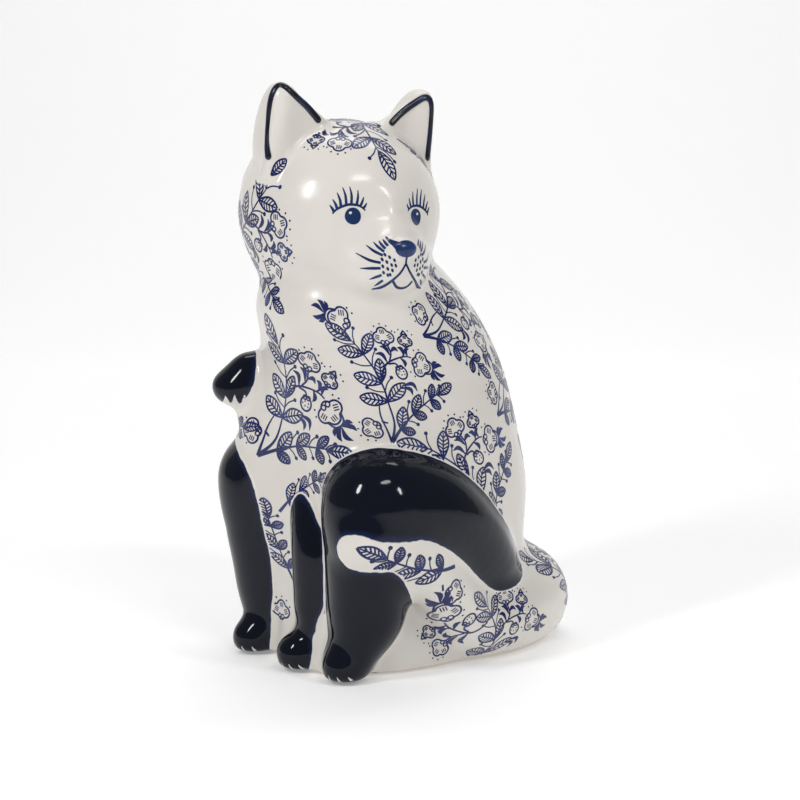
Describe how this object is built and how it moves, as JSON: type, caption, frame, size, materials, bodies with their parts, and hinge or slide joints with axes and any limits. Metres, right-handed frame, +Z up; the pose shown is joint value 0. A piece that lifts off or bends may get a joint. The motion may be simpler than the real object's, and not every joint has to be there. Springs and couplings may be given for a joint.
{
  "type": "ceramic cat figurine",
  "caption": "Hollow glazed ceramic figurine of a seated cat with its head turned, one forepaw raised and its tail wrapped round one side, standing on a flat padded base.",
  "frame": {"origin": "middle of the bounding box's footprint, on the surface that the four felt pads stand on", "axes": "+Z up; the cat's chest faces -Y, its left side is +X, and its head is turned towards +X"},
  "size_m": [0.127, 0.1524, 0.254],
  "materials": {
    "glaze_white": "gloss",
    "glaze_navy": "gloss",
    "underglaze_blue": "gloss",
    "felt": "matte"
  },
  "bodies": {
    "root": {"torso_shell": "glaze_white", "head_shell": "glaze_white", "left_ear": "glaze_white", "right_ear": "glaze_white", "left_hind_leg": "glaze_navy", "right_hind_leg": "glaze_navy", "left_foreleg": "glaze_navy", "right_forepaw": "glaze_navy", "tail": "glaze_white", "front_left_pad": "felt", "front_right_pad": "felt", "rear_left_pad": "felt", "rear_right_pad": "felt"}
  },
  "joints": []
}
